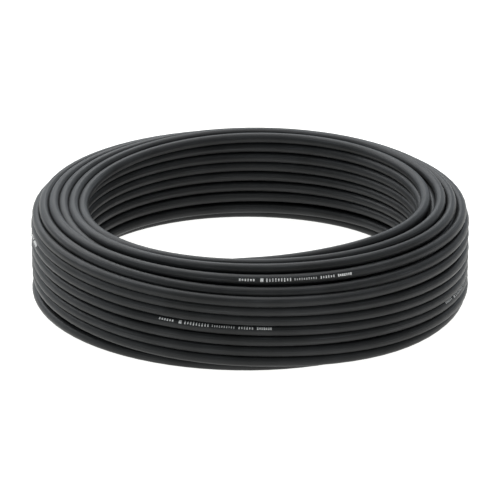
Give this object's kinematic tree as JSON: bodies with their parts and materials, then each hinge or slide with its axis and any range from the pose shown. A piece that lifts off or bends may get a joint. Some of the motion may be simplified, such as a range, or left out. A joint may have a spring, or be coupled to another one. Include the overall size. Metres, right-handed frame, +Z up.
{
  "type": "hose coil",
  "caption": "Round coil of narrow smooth-walled supply hose, wound in level layers with an open eye and two bare ends, lying flat.",
  "frame": {"origin": "on the ground, on the axis of the coil, at the centre of the underside of its bounding box", "axes": "+Z up along the axis of the coil, which is its shortest extent; -Y is the side the object is looked at from; +X is to the right from there"},
  "size_m": [0.2632, 0.2632, 0.0632],
  "materials": {
    "hose_tube": "satin",
    "marking_ink": "matte"
  },
  "bodies": {
    "root": {"winding_layer_1": "hose_tube", "winding_layer_2": "hose_tube", "winding_layer_3": "hose_tube", "winding_layer_4": "hose_tube", "winding_layer_5": "hose_tube", "hose_inner_end": "hose_tube", "hose_outer_end": "hose_tube"}
  },
  "joints": []
}
